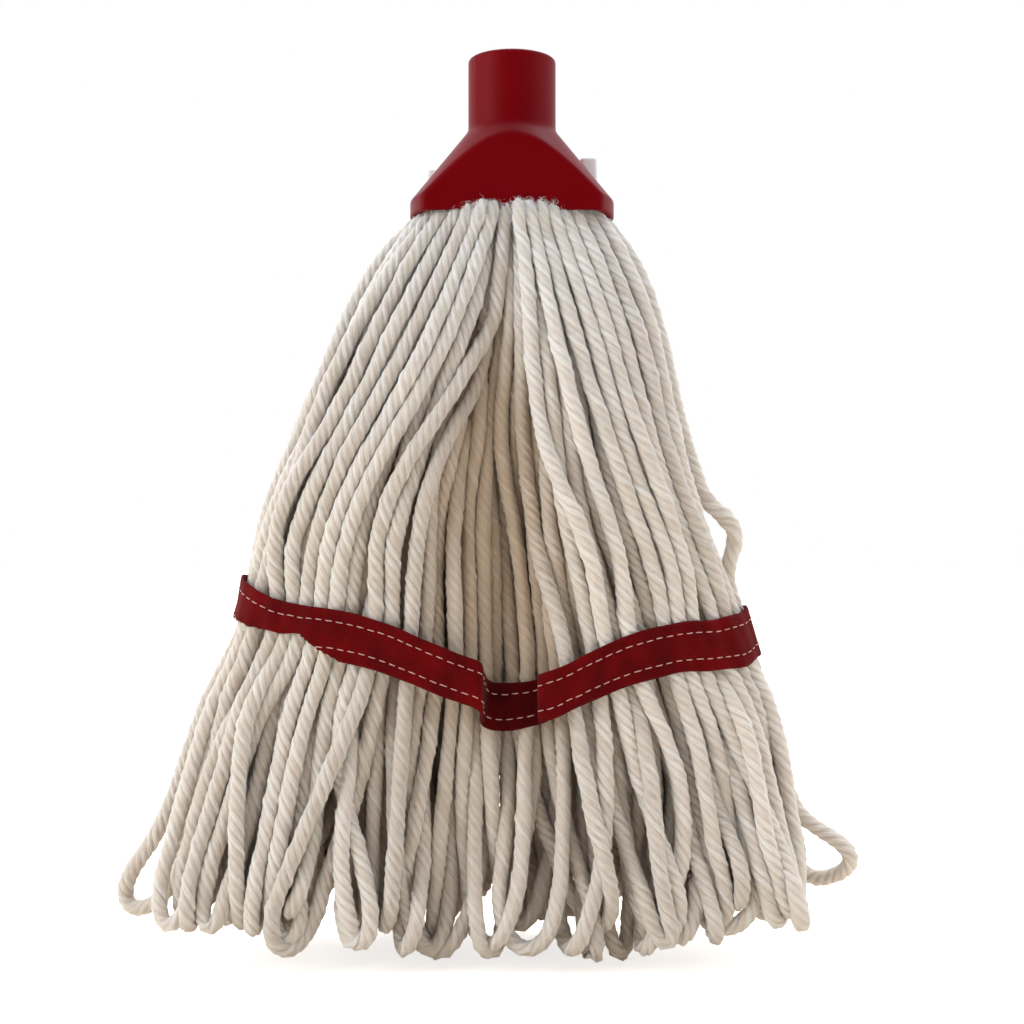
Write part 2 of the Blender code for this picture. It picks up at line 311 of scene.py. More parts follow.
def make_floor():
    material = new_material("floor", FLOOR_COLOUR, 0.9, Emission_Color=(1, 1, 1, 1))
    seen = add_node(material, "ShaderNodeLightPath").outputs["Is Camera Ray"]
    glow = calculate(material, "MULTIPLY", seen, FLOOR_GLOW)
    link(material, glow, shader_of(material).inputs["Emission Strength"])
    shape = bmesh.new()
    bmesh.ops.create_circle(shape, cap_ends=True, segments=64, radius=4.0)
    floor = object_from("floor", shape, material)
    floor.location.z = SKIRT_FLOOR - FLOOR_DROP


def make_stage():
    make_camera()
    make_sky()
    make_lights()
    make_floor()
    bpy.context.scene.view_settings.view_transform = "Standard"


# Materials


def shader_of(material):
    return material.node_tree.nodes["Principled BSDF"]


def new_material(name, colour, roughness, **inputs):
    """A Principled material. Underscores in an input's name stand for spaces."""
    material = bpy.data.materials.new(name)
    material.use_nodes = True
    shader = shader_of(material)
    shader.inputs["Base Color"].default_value = (*colour, 1)
    shader.inputs["Roughness"].default_value = roughness
    for key, value in inputs.items():
        shader.inputs[key.replace("_", " ")].default_value = value
    return material


def add_node(owner, kind, **values):
    """A node in a material or world. A value is a setting of the node or, failing that, an input."""
    node = owner.node_tree.nodes.new(kind)
    for key, value in values.items():
        if hasattr(node, key):
            setattr(node, key, value)
        else:
            node.inputs[key.replace("_", " ")].default_value = value
    return node


def link(owner, source, target):
    owner.node_tree.links.new(source, target)


def calculate(owner, operation, *values):
    """The output of a maths node. Each value is a number or another node's output."""
    node = add_node(owner, "ShaderNodeMath", operation=operation)
    for target, value in zip(node.inputs, values):
        if isinstance(value, float):
            target.default_value = value
        else:
            link(owner, value, target)
    return node.outputs[0]


def map_range(owner, value, source, target):
    node = add_node(
        owner, "ShaderNodeMapRange",
        From_Min=source[0], From_Max=source[1], To_Min=target[0], To_Max=target[1],
    )
    link(owner, value, node.inputs["Value"])
    return node.outputs[0]


def ramp_colours(owner, factor, stops):
    ramp = add_node(owner, "ShaderNodeValToRGB")
    while len(ramp.color_ramp.elements) < len(stops):
        ramp.color_ramp.elements.new(0.5)
    for element, (place, colour) in zip(ramp.color_ramp.elements, stops):
        element.position = place
        element.color = (*colour, 1)
    link(owner, factor, ramp.inputs["Fac"])
    return ramp.outputs["Color"]


def mix_colours(owner, colour, share, other, blend_type="MULTIPLY"):
    """The colour, mixed with another one as far as share goes."""
    mixed = add_node(owner, "ShaderNodeMix", data_type="RGBA", blend_type=blend_type)
    link(owner, share, mixed.inputs["Factor"])
    link(owner, colour, mixed.inputs[6])
    mixed.inputs[7].default_value = (*other, 1)
    return mixed.outputs[2]


def attribute_of(material, name, output="Fac"):
    return add_node(material, "ShaderNodeAttribute", attribute_name=name).outputs[output]


def place_of(material):
    return add_node(material, "ShaderNodeTexCoord").outputs["Object"]


def add_texture(material, kind, vector, **values):
    texture = add_node(material, kind, **values)
    link(material, vector, texture.inputs["Vector"])
    return texture.outputs["Fac"]


def add_noise(material, vector, **values):
    return add_texture(material, "ShaderNodeTexNoise", vector, **values)


def add_bump(material, height, strength, distance):
    bump = add_node(material, "ShaderNodeBump", Strength=strength, Distance=distance)
    link(material, height, bump.inputs["Height"])
    link(material, bump.outputs["Normal"], shader_of(material).inputs["Normal"])


def yarn_material():
    material = new_material(
        "yarn", (0.75, 0.71, 0.66), 0.9,
        Sheen_Weight=0.25, Sheen_Roughness=0.5, Specular_IOR_Level=0.2,
        Subsurface_Weight=0.35, Subsurface_Radius=(1.0, 0.62, 0.38), Subsurface_Scale=0.003,
    )
    # fibres: a noise drawn out along the strand
    stretch = add_node(material, "ShaderNodeVectorMath", operation="MULTIPLY")
    stretch.inputs[1].default_value = (1700, 1700, 210)
    link(material, attribute_of(material, "strand", "Vector"), stretch.inputs[0])
    fibres = add_noise(material, stretch.outputs[0], Scale=1.0, Detail=5.0, Roughness=0.65)
    total = calculate(material, "ADD", fibres, attribute_of(material, "tone"))
    stops = [(0.3, (0.66, 0.63, 0.60)), (0.5, (0.81, 0.79, 0.77)), (0.7, (0.92, 0.91, 0.90))]
    colour = ramp_colours(material, total, stops)
    # painted shade: the grooves between the plies are darkened to a warm grey
    colour = mix_colours(material, colour, attribute_of(material, "groove"), (0.84, 0.79, 0.73))
    # painted shade: strands lying deeper inside the skirt are darkened to a warm brown
    colour = mix_colours(material, colour, attribute_of(material, "deep"), (0.74, 0.64, 0.53))
    # painted shade: warmer and a little darker from under the socket downwards, standing in for warm bounced
    # light low in the skirt
    split = add_node(material, "ShaderNodeSeparateXYZ")
    link(material, place_of(material), split.inputs[0])
    low = map_range(material, split.outputs["Z"], (MOUTH - 20 * MM, MOUTH - 120 * MM), (0.0, 1.0))
    colour = mix_colours(material, colour, low, (1.0, 0.955, 0.90))
    link(material, colour, shader_of(material).inputs["Base Color"])
    add_bump(material, fibres, 0.9, 0.0008)
    return material


def tape_material():
    material = new_material("tape", (0.33, 0.004, 0.012), 0.88, Sheen_Weight=0.05, Specular_IOR_Level=0.06)
    place = attribute_of(material, "cloth", "Vector")
    warp, weft = (
        add_texture(material, "ShaderNodeTexWave", place, bands_direction=axis, Scale=330.0, Distortion=1.2)
        for axis in "XY"
    )
    weave = calculate(material, "MULTIPLY", warp, weft)
    patch = add_noise(material, place, Scale=90.0, Detail=4.0)
    mixed = calculate(material, "MULTIPLY_ADD", weave, 0.4, patch)
    stops = [(0.3, (0.06, 0.0002, 0.0006)), (0.6, (0.11, 0.0004, 0.001)), (0.95, (0.17, 0.001, 0.002))]
    colour = ramp_colours(material, mixed, stops)
    # painted shade: the cloth is darkened, with a cool tint, the deeper it lies in the pleat's recess
    colour = mix_colours(material, colour, attribute_of(material, "pleat"), (0.45, 0.45, 0.6))
    link(material, colour, shader_of(material).inputs["Base Color"])
    add_bump(material, weave, 0.5, 0.0003)
    return material


def socket_material():
    material = new_material("socket_plastic", (0.44, 0.004, 0.016), 0.42, Specular_IOR_Level=0.06)
    cloud = add_noise(material, place_of(material), Scale=35.0, Detail=3.0)
    colour = ramp_colours(material, cloud, [(0.3, (0.14, 0.0001, 0.0022)), (0.7, (0.16, 0.0001, 0.003))])
    link(material, colour, shader_of(material).inputs["Base Color"])
    rough = map_range(material, cloud, (0.0, 1.0), (0.36, 0.5))
    link(material, rough, shader_of(material).inputs["Roughness"])
    add_bump(material, add_noise(material, place_of(material), Scale=900.0, Detail=2.0), 0.12, 0.0002)
    return material


def retainer_material():
    material = new_material(
        "retainer_plastic", (0.93, 0.91, 0.95), 0.4,
        Subsurface_Weight=0.3, Subsurface_Radius=(0.004, 0.004, 0.004),
    )
    add_bump(material, add_noise(material, place_of(material), Scale=500.0, Detail=2.0), 0.1, 0.0002)
    return material


def thread_material():
    material = new_material("thread", (0.80, 0.56, 0.53), 0.75)
    grain = add_noise(material, place_of(material), Scale=1500.0, Detail=2.0)
    colour = ramp_colours(material, grain, [(0.3, (0.42, 0.20, 0.18)), (0.7, (0.62, 0.40, 0.36))])
    link(material, colour, shader_of(material).inputs["Base Color"])
    add_bump(material, grain, 0.3, 0.0002)
    return material


# Meshes


def grid_faces(rows, columns, close_rows=False):
    """Quads between rows of points, each a closed ring. close_rows joins the last row to the first too."""
    steps = rows if close_rows else rows - 1
    row, column = np.meshgrid(np.arange(steps), np.arange(columns), indexing="ij")
    next_row, next_column = (row + 1) % rows, (column + 1) % columns
    corners = (
        row * columns + column,
        row * columns + next_column,
        next_row * columns + next_column,
        next_row * columns + column,
    )
    return np.stack(corners, axis=-1).reshape(-1, 4)


def end_caps(rows, columns):
    """A face on each end of a tube of rows."""
    last = (rows - 1) * columns
    return [list(range(columns)), list(range(last, last + columns))[::-1]]


def make_mesh(name, points, faces, material, caps=()):
    mesh = bpy.data.meshes.new(name)
    mesh.from_pydata(points.tolist(), [], [*faces.tolist(), *caps])
    mesh.materials.append(material)
    mesh.shade_smooth()
    return add_object(name, mesh)


def set_floats(obj, name, values):
    values = np.ascontiguousarray(values, dtype=np.float32)
    kind = "FLOAT_VECTOR" if values.ndim == 2 else "FLOAT"
    attribute = obj.data.attributes.new(name, kind, "POINT")
    attribute.data.foreach_set("vector" if values.ndim == 2 else "value", values.ravel())


def recalculate(obj):
    shape = bmesh.new()
    shape.from_mesh(obj.data)
    bmesh.ops.recalc_face_normals(shape, faces=shape.faces)
    shape.to_mesh(obj.data)
    shape.free()


def apply_modifiers(obj):
    bpy.context.view_layer.update()
    evaluated = obj.evaluated_get(bpy.context.evaluated_depsgraph_get())
    mesh = bpy.data.meshes.new_from_object(evaluated)
    obj.modifiers.clear()
    obj.data = mesh


def add_box(shape, low, high):
    for vertex in bmesh.ops.create_cube(shape, size=1.0)["verts"]:
        vertex.co = [high[k] if vertex.co[k] > 0 else low[k] for k in range(3)]


# Socket and retainer


def arc(centre, radius, start, end, steps):
    angles = np.radians(np.linspace(start, end, steps + 1))
    return [(centre[0] + radius * math.cos(a), centre[1] + radius * math.sin(a)) for a in angles]


def soft_corner(a, b, c, steps):
    """A curve from a to c that heads for b."""
    points = []
    for i in range(steps + 1):
        t = i / steps
        points.append(tuple((1 - t) ** 2 * p + 2 * t * (1 - t) * q + t * t * r for p, q, r in zip(a, b, c)))
    return points


def shoulder_radius(z):
    share = (TUBE_BOTTOM - z) / (TUBE_BOTTOM - SHOULDER_BOTTOM)
    return TUBE_RADIUS + (BELL_RADIUS - TUBE_RADIUS) * share


def dense(profile, step):
    """A profile with points added so that none are further apart than the step."""
    points = [profile[0]]
    for one, other in zip(profile, profile[1:]):
        count = max(1, math.ceil(math.dist(one[:2], other[:2]) / step))
        for i in range(1, count + 1):
            share = i / count
            points.append(tuple(a + (b - a) * share for a, b in zip(one, other)))
    return points


def socket_profile():
    """From the bore's floor, over the rim and the lip to the hollow's top: radius, height and half depth."""
    chamfered = BORE_RADIUS + BORE_CHAMFER
    bore = [(0, BORE_FLOOR), (BORE_RADIUS, BORE_FLOOR), (BORE_RADIUS, -BORE_CHAMFER), (chamfered, 0)]
    rim = arc((TUBE_RADIUS - RIM_ROUND, -RIM_ROUND), RIM_ROUND, 90, 0, 6)
    neck_bottom = TUBE_BOTTOM - NECK_REACH
    neck = soft_corner(
        (TUBE_RADIUS, TUBE_BOTTOM + NECK_REACH), (TUBE_RADIUS, TUBE_BOTTOM),
        (shoulder_radius(neck_bottom), neck_bottom), 6,
    )
    slope = math.degrees(math.atan2(TUBE_BOTTOM - SHOULDER_BOTTOM, BELL_RADIUS - TUBE_RADIUS))
    lip = arc((BELL_RADIUS - LIP_ROUND, SHOULDER_BOTTOM - 0.4 * MM), LIP_ROUND, 90 - slope, 0, 6)
    foot = arc((BELL_RADIUS - FOOT_ROUND, MOUTH + FOOT_ROUND), FOOT_ROUND, 0, -90, 4)
    inside_lip = BELL_RADIUS - CONE_WALL
    inside = [(inside_lip, MOUTH + 0.2 * MM), (inside_lip, SHOULDER_BOTTOM)]
    inside += [(shoulder_radius(HOLLOW_TOP) - CONE_WALL, HOLLOW_TOP), (0, HOLLOW_TOP)]
    outer = [(r, z, BELL_HALF_DEPTH) for r, z in [*bore, *rim, *neck, *lip, *foot]]
    inner = [(r, z, BELL_HALF_DEPTH - WALL) for r, z in inside]
    return dense([*outer, *inner], PROFILE_STEP)[1:-1]


def build_socket(material):
    radius, height, flat = np.array(socket_profile()).T
    angles = 2 * math.pi * np.arange(SOCKET_COLUMNS) / SOCKET_COLUMNS
    cone = (1 / radius[:, None]) ** EDGE_SHARPNESS
    plane = (np.abs(np.sin(angles))[None, :] / flat[:, None]) ** EDGE_SHARPNESS
    reach = (cone + plane) ** (-1 / EDGE_SHARPNESS)
    on_tube = (np.abs(radius - TUBE_RADIUS) < 0.05 * MM) & (height > TUBE_BOTTOM)
    seam = np.exp(-(((angles - SEAM_ANGLE) * TUBE_RADIUS / SEAM_WIDTH) ** 2))
    reach += SEAM_HEIGHT * on_tube[:, None] * seam[None, :]
    z = np.repeat(height[:, None], SOCKET_COLUMNS, axis=1)
    points = np.stack([reach * np.cos(angles), reach * np.sin(angles), z], axis=-1).reshape(-1, 3)
    faces = grid_faces(len(height), SOCKET_COLUMNS)
    socket = make_mesh("socket_shell", points, faces, material, end_caps(len(height), SOCKET_COLUMNS))
    recalculate(socket)
    cut_slots(socket)
    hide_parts("socket")
    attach(socket, "socket")


def lug_boxes():
    """Each lug's low and high corner, read from the retainer."""
    points = np.array([v.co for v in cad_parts["yarn_retainer"].data.vertices])
    boxes = []
    for sign in (-1, 1):
        side = points[np.sign(points[:, 0]) == sign]
        top = side[side[:, 2] > side[:, 2].max() - 1 * MM]
        boxes.append((np.array([*top.min(0)[:2], side[:, 2].min()]), top.max(0)))
    return boxes


def cut_slots(socket):
    """Opens the shoulders where the retainer's lugs come through."""
    shape = bmesh.new()
    for low, high in lug_boxes():
        add_box(shape, low - SLOT_GAP, high + SLOT_GAP + (0, 0, SLOT_ABOVE))
    cutter = object_from("slots", shape)
    boolean = socket.modifiers.new("slots", "BOOLEAN")
    boolean.operation = "DIFFERENCE"
    boolean.object = cutter
    apply_modifiers(socket)
    bpy.data.objects.remove(cutter)
    socket.data.shade_smooth()
    socket.data.set_sharp_from_angle(angle=math.radians(50))


def build_retainer(material):
    low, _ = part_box("yarn_retainer")
    shape = bmesh.new()
    left, right = lug_boxes()
    for lug in (left, right):
        add_box(shape, *lug)
    bar_start, bar_end = left[1][0] - 1 * MM, right[0][0] + 1 * MM
    add_box(shape, (bar_start, low.y, low.z), (bar_end, low.y + BAR_THICKNESS, low.z + BAR_HEIGHT))
    retainer = object_from("retainer_lugs", shape, material)
    bevel = retainer.modifiers.new("round", "BEVEL")
    bevel.width = 1.7 * MM
    bevel.segments = 5
    apply_modifiers(retainer)
    retainer.data.shade_smooth()
    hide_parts("yarn_retainer")
    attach(retainer, "socket")


# The skirt's outline, read from the yarn solids


def reach_levels(node, axis, sign):
    points = np.array([v.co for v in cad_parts[node].data.vertices])
    heights = np.round(points[:, 2], 4)
    levels = np.unique(heights)
    levels = levels[levels > heights.min() + TIP_HEIGHT]
    reach = np.array([(sign * points[heights == level, axis]).max() for level in levels])
    return levels, reach


def with_mouth(levels, reach, below, near_mouth):
    """The outline of the solids below a height, and the yarn's outline at the bell's mouth above it."""
    keep = levels < below
    heights = [*levels[keep], *(MOUTH + drop for drop, _ in near_mouth)]
    return np.array(heights), np.array([*reach[keep], *(value for _, value in near_mouth)])


LEFT = with_mouth(*reach_levels("yarn_front_1", 0, -1), MOUTH - 8 * MM, MOUTH_WIDTHS)
RIGHT = with_mouth(*reach_levels("yarn_front_8", 0, 1), MOUTH - 8 * MM, MOUTH_WIDTHS)
DEEP = with_mouth(*reach_levels("yarn_front_4", 1, -1), MOUTH - 32 * MM, MOUTH_DEPTHS)


def skirt(z):
    """The yarn's middle, half width and half depth at a height."""
    left = np.interp(z, *LEFT)
    right = np.interp(z, *RIGHT)
    return (right - left) / 2, (right + left) / 2, np.interp(z, *DEEP)


def parting(x, z):
    """How deep the parting is at a place on the front."""
    heights, *columns = PARTING.T
    middle, half_width, depth = (np.interp(z, heights, column) for column in columns)
    return depth / (1 + np.abs((x - middle) / half_width) ** 6)


def smooth_table(table, width):
    """The table's curve with its corners rounded off, at even steps."""
    places, values = table.T
    even = np.linspace(places[0], places[-1], 201)
    weight = np.exp(-(((even[:, None] - even[None, :]) / width) ** 2))
    return even, weight @ np.interp(even, places, values) / weight.sum(1)


SMOOTH_REACH = smooth_table(TAPE_REACH, 7 * MM)


def tape_height(x, across=0.0):
    """The tape's height at x, an arc round the mouth. across is -1 at its lower edge and 1 at its upper."""
    reach = np.interp(x, *SMOOTH_REACH) - across * TAPE_WIDTH / 2
    return MOUTH - np.sqrt(reach**2 - np.minimum(np.abs(x), 0.9 * reach) ** 2)


def ring_table(half_width, half_depth, steps=720):
    """Even places round a superellipse: shares of the way round, and the unit section there."""
    angles = np.linspace(-math.pi, math.pi, steps + 1)
    c, s = (np.sign(f(angles)) * np.abs(f(angles)) ** (2 / SECTION_POWER) for f in (np.cos, np.sin))
    lengths = np.hypot(np.diff(c) * half_width, np.diff(s) * half_depth)
    along = np.concatenate([[0], np.cumsum(lengths)])
    return along / along[-1], c, s


TAPE_LEVEL = tape_height(0)
_, BAND_HALF_WIDTH, BAND_HALF_DEPTH = skirt(TAPE_LEVEL)
RING = ring_table(BAND_HALF_WIDTH, BAND_HALF_DEPTH)


def section(place):
    place = np.mod(place, 1.0)
    return np.interp(place, RING[0], RING[1]), np.interp(place, RING[0], RING[2])


def on_skirt(place, z, inset):
    """A point in the skirt at a share of the way round, a height and a depth under the outline."""
    middle, half_width, half_depth = skirt(z)
    c, s = section(place)
    x = middle + (half_width - inset) * c
    valley = np.where(s < 0, parting(x, z) + 0.5 * inset, 0)
    inset = np.minimum(np.maximum(inset, valley), half_depth - 1 * MM)
    return np.stack([x, (half_depth - inset) * s, z + np.zeros_like(x)], axis=-1)


def around_middle(u, v):
    """How far out a place is: 0 at the middle, and 1 on the outline. u and v are shares of the half widths."""
    return (np.abs(u) ** SECTION_POWER + np.abs(v) ** SECTION_POWER) ** (1 / SECTION_POWER)


def depth_under(points):
    """How deep points lie inside the skirt."""
    x, y, z = points.T
    middle, half_width, half_depth = skirt(z)
    return (1 - around_middle((x - middle) / half_width, y / half_depth)) * half_depth


# Curves and tubes


def lengths_along(curve):
    return np.concatenate([[0], np.cumsum(np.linalg.norm(np.diff(curve, axis=0), axis=1))])


def points_at(places, lengths, curve):
    return np.stack([np.interp(places, lengths, curve[:, k]) for k in range(3)], axis=-1)


def even_count(curve, count):
    lengths = lengths_along(curve)
    return points_at(np.linspace(0, lengths[-1], count + 1), lengths, curve)


def even_steps(curve, step):
    return even_count(curve, max(4, int(round(lengths_along(curve)[-1] / step))))


def bspline(points, step):
    """A smooth curve near the points, in even steps."""
    padded = np.vstack([2 * points[0] - points[1], points, 2 * points[-1] - points[-2]])
    t = np.linspace(0, 1, 7)[:-1][None, :, None]
    p0, p1, p2, p3 = (padded[i : len(padded) - 3 + i][:, None, :] for i in range(4))
    near = (1 - t) ** 3 * p0 + (3 * t**3 - 6 * t**2 + 4) * p1
    curve = (near + (-3 * t**3 + 3 * t**2 + 3 * t + 1) * p2 + t**3 * p3) / 6
    return even_steps(np.vstack([curve.reshape(-1, 3), points[-1]]), step)


def sides_along(path):
    """Two sides of a path, square to it, that don't turn about it."""
    tangents = np.gradient(path, axis=0)
    tangents /= np.linalg.norm(tangents, axis=1)[:, None]
    sides = np.zeros_like(path)
    side = np.cross(tangents[0], (0.3, 1.0, 0.1))
    for i, tangent in enumerate(tangents):
        side = side - tangent * (side @ tangent)
        side /= np.linalg.norm(side)
        sides[i] = side
    return sides, np.cross(tangents, sides)


def rings_along(path, side, other, reach, angle):
    """Rings of points round a path, at a reach and an angle from its two sides."""
    return (
        path[..., None, :]
        + (reach * np.cos(angle))[..., None] * side[..., None, :]
        + (reach * np.sin(angle))[..., None] * other[..., None, :]
    )


def strand_radius(z):
    return STRAND_RADIUS * look_up(z - MOUTH, SQUEEZE)


def strand_mesh(name, path, material, seed, per_ply, radius=None):
    """A twisted yarn along a path. The mesh's columns follow the plies."""
    random = np.random.default_rng(seed)
    lengths = lengths_along(path)
    count = PLIES * per_ply
    column = 2 * math.pi * np.arange(count) / count
    phase = random.uniform(0, 2 * math.pi)
    wobble = 0.5 * np.sin(lengths / (0.03 + 0.03 * random.random()) + phase)
    turn = phase - 2 * math.pi * lengths / TWIST_PITCH + wobble
    base = strand_radius(path[:, 2]) if radius is None else np.full(len(path), radius)
    swell = 1 + 0.04 * np.sin(lengths / 0.013 + phase) + 0.03 * np.sin(lengths / 0.0052 + 2 * phase)
    # each ply stands out by its own amount, which changes along the yarn
    ply_phase = random.uniform(0, 2 * math.pi, PLIES)
    ply_size = random.uniform(0.65, 1.0, PLIES)
    waves = np.sin(lengths[:, None] / 0.017 + ply_phase[None, :])
    bulge = (ply_size * (1 + 0.35 * waves))[:, np.arange(count) // per_ply]
    ridge = np.array(RIDGES[per_ply])[np.arange(count) % per_ply]
    profile = 1 - GROOVE + GROOVE * 1.25 * bulge * ridge[None, :]
    reach = (base * swell)[:, None] * profile
    reach = reach * (1 + 0.018 * random.standard_normal(reach.shape))
    points = rings_along(path, *sides_along(path), reach, turn[:, None] + column[None, :]).reshape(-1, 3)
    strand = make_mesh(name, points, grid_faces(len(path), count), material, end_caps(len(path), count))
    flat = np.empty((len(path), count, 3))
    flat[..., 0] = STRAND_RADIUS * np.cos(column)
    flat[..., 1] = STRAND_RADIUS * np.sin(column)
    flat[..., 2] = lengths[:, None] + seed * 1.37
    set_floats(strand, "strand", flat.reshape(-1, 3))
    # groove: 1 down between the plies and 0 on their ridges, where the material paints shade
    set_floats(strand, "groove", (1 - bulge * ridge[None, :]).clip(0, 1).ravel())
    # deep: how far under the skirt's outline a point lies, for the material's painted shade, which fades out
    # below the tape
    deep = ((depth_under(points) - 2 * MM) / (11 * MM)).clip(0, 1)
    deep *= 1 - 0.65 * smoothstep((TAPE_LEVEL - points[:, 2]) / (25 * MM))
    set_floats(strand, "deep", deep)
    set_floats(strand, "tone", np.full(len(path) * count, random.uniform(-0.12, 0.12)))
    return strand


# The strands' ways: legs from the bell, joined in pairs by loops


def wander(z, waves):
    return sum(size * np.sin(z / length + phase) for size, length, phase in waves)


def leg(z, side, mouth_share, share, depths, drift, across, inward):
    """A strand's way down from the bell, without its loop."""
    fanned = smoothstep((MOUTH - z) / SPREAD)
    low = smoothstep((TAPE_LEVEL + 15 * MM - z) / (100 * MM))
    at_tape = np.exp(-(((z - TAPE_LEVEL - 12 * MM) / (22 * MM)) ** 2))
    loose = smoothstep((MOUTH - 12 * MM - z) / (70 * MM)) * (1 - 0.6 * at_tape)
    around = mouth_share + (share - mouth_share) * fanned + drift * low + wander(z, across) * loose
    depth = depths[0] + (depths[1] - depths[0]) * smoothstep((MOUTH - 4 * MM - z) / (110 * MM))
    depth = depth + (depths[2] - depths[1]) * low + wander(z, inward) * loose
    depth = np.maximum(depth, 2.4 * MM) - 3 * MM * low * np.abs(share) ** 3
    return on_skirt(MIDDLE_OF[side] + 0.25 * around, z, depth)


def loop_path(one, other, rise, half_width, swing, settle, lean):
    """Two legs joined by a loop. swing turns the loop about its own middle, and lean moves its foot."""
    foot = on_skirt(MIDDLE_OF[one["side"]] + 0.25 * one["share"], LOOP_LEVEL, 10 * MM)
    bottom = bottom_near(foot[0], one["side"]) + look_up(foot[0], LIFT) + rise
    turn_height = bottom + half_width * 0.9
    z = np.linspace(MOUTH + 9 * MM, turn_height, 62)
    a, b = leg(z, **one), leg(z, **other)
    middle = (a[-1] + b[-1]) / 2 * (1, 1, 0) + lean
    for gap, reach in GAPS:
        if abs(middle[0] - gap) < reach:
            middle[0] = gap + math.copysign(reach, middle[0] - gap)
    across = (b[-1] - a[-1]) * (1, 1, 0)
    across /= max(np.linalg.norm(across), 1e-6)
    c, s = math.cos(swing), math.sin(swing)
    turned = np.array([across[0] * c - across[1] * s, across[0] * s + across[1] * c, 0])
    share = smoothstep((turn_height + settle - z) / settle)[:, None]
    upright = middle + (0, 0, 1) * z[:, None]
    a = a * (1 - share) + (upright - turned * half_width) * share
    b = b * (1 - share) + (upright + turned * half_width) * share
    angles = np.linspace(0, math.pi, 11)[1:-1, None]
    bow = middle - turned * half_width * np.cos(angles)
    bow = bow + np.array([0, 0, 1]) * (turn_height - half_width * 0.9 * np.sin(angles))
    return np.vstack([a, bow, b[::-1]])


def random_waves(size, lengths):
    """Two waves: each one's size, length and phase."""
    waves = []
    for _ in range(2):
        waves.append((RANDOM.uniform(0.3, 1) * size, RANDOM.uniform(*lengths), RANDOM.uniform(0, 6.3)))
    return waves


def make_legs():
    legs = []
    for side, count, gather, *depths in LAYERS:
        at_mouth, at_middle, at_ends, lowest = (depth * MM for depth in depths)
        for i in range(count):
            mouth_share = 2 * (i + 0.5 + RANDOM.uniform(-0.3, 0.3)) / count - 1
            share = math.copysign(abs(mouth_share) ** (1 / gather), mouth_share)
            if side == "front":  # clear of the parting, but for the innermost
                gap = 0.13 if lowest < 10 * MM else 0.0
                share = math.copysign(gap + (1 - gap) * abs(share), share)
            to_end = float(smoothstep(abs(share) * 1.4 - 0.25))
            at_tape = at_middle + (at_ends - at_middle) * to_end
            legs.append({
                "side": side,
                "mouth_share": mouth_share,
                "share": share,
                "depths": (at_mouth, at_tape + RANDOM.uniform(0, 2) * MM, lowest * RANDOM.uniform(0.6, 1.6)),
                "drift": RANDOM.normal(0, 0.04),
                "across": random_waves(0.036, (13 * MM, 28 * MM)),
                "inward": random_waves(2.6 * MM, (12 * MM, 26 * MM)),
            })
    return legs


def bottom_near(x, side):
    """How low the yarn solids go at x."""
    floors = [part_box(f"yarn_{side}_{i + 1}")[0].z for i in range(COLUMNS)]
    middle, half_width, _ = skirt(LOOP_LEVEL)
    return np.interp(x, middle + half_width * (np.arange(COLUMNS) - 3.5) / 4, floors)


def pair_legs(legs):
    """Joins each leg to a near one, whichever layer it is in."""
    free = sorted(range(len(legs)), key=lambda i: MIDDLE_OF[legs[i]["side"]] + 0.25 * legs[i]["share"])
    pairs = []
    while len(free) > 1:
        first = free.pop(0)
        skip = min(int(RANDOM.choice(list(PARTNERS), p=list(PARTNERS.values()))), len(free) - 1)
        pairs.append((first, free.pop(skip)))
    return pairs


def make_loops():
    legs = make_legs()
    loops = []
    for first, second in pair_legs(legs):
        rise = RANDOM.uniform(0.6, 4) * MM + (RANDOM.random() < 0.2) * 8 * MM
        half_width = RANDOM.uniform(6, 11) * MM + (RANDOM.random() < 0.15) * 6 * MM
        swing = RANDOM.normal(0, 0.85)
        settle = RANDOM.uniform(45, 95) * MM
        out = -16 * MM if legs[first]["side"] == "front" else 5 * MM
        lean = np.array([RANDOM.normal(0, 6) * MM, out + RANDOM.normal(0, 3) * MM, 0])
        loops.append(loop_path(legs[first], legs[second], rise, half_width, swing, settle, lean))
    return loops


# Settling: strands move apart, and stay inside the bell, the tape and the model's box


def hold_in_bell(points, radius):
    inside = points[:, 2] > MOUTH - 1.5 * MM
    share = np.clip((points[:, 2] - MOUTH) / (11 * MM), 0, 1)
    limit_x = (BELL_RADIUS - CONE_WALL - radius) * (1 - 0.2 * share)
    limit_y = BELL_HALF_DEPTH - WALL - radius
    for axis, limit in ((0, limit_x), (1, limit_y)):
        points[:, axis] = np.where(inside, np.clip(points[:, axis], -limit, limit), points[:, axis])


def hold_in_tape(points, radius):
    """Draws strands in under the tape, and says how near to it each point is."""
    x, y, z = points.T
    near = np.exp(-(((z - tape_height(x)) / (16 * MM)) ** 4))
    middle, half_width, half_depth = skirt(z)
    over = around_middle((x - middle) / (half_width - radius), y / (half_depth - radius))
    scale = 1 + (1 / np.maximum(over, 1) - 1) * near
    points[:, 0] = middle + (x - middle) * scale
    points[:, 1] = y * scale
    return near


def hold_off_pleat(points, radius, near):
    """Moves strands near the tape behind its pleat, or beside the pleat's walls."""
    x, y, z = points.T
    left, right = PLEAT_WALLS[0] - radius, PLEAT_WALLS[1] + radius
    depth = skirt(z)[2] + y
    behind = PLEAT_DEPTH + radius
    caught = (near > 0.25) & (x > left) & (x < right) & (depth < behind)
    deepen = caught & (depth > 0.45 * behind)
    points[:, 1] = np.where(deepen, y + (behind - depth) * 0.6, y)
    aside = np.where(x < (left + right) / 2, left, right)
    points[:, 0] = np.where(caught & ~deepen, x + (aside - x) * 0.6, x)


